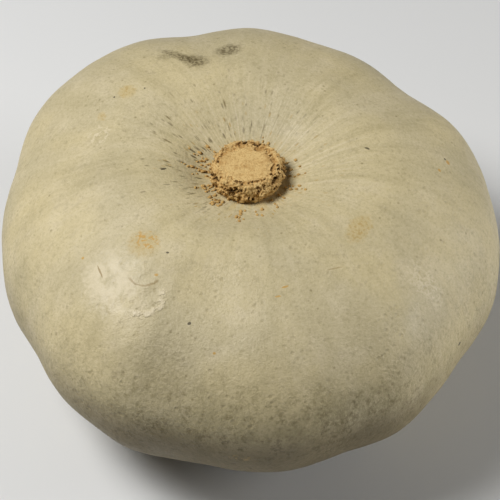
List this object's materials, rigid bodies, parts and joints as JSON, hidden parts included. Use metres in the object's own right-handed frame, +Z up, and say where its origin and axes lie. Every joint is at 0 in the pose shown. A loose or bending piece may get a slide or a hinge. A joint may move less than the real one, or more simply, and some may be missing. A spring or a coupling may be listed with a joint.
{
  "type": "crown pumpkin",
  "caption": "Whole ripe pumpkin with a pale grey-green ribbed skin, a shallow dimple in the crown and a short stub of corky stalk. Rests on its flattened base.",
  "frame": {"origin": "on the surface the pumpkin rests on, under the middle of its bounding box", "axes": "+Z up through the stalk, -Y towards the viewer, +X to the viewer's right"},
  "size_m": [0.2684, 0.282, 0.1396],
  "materials": {
    "skin": "waxy grey-green skin with a soft sheen, small scabs and dark flecks",
    "cork": "dry, pitted tan cork"
  },
  "bodies": {
    "root": {"fruit": "skin", "stem": "cork"}
  },
  "joints": []
}
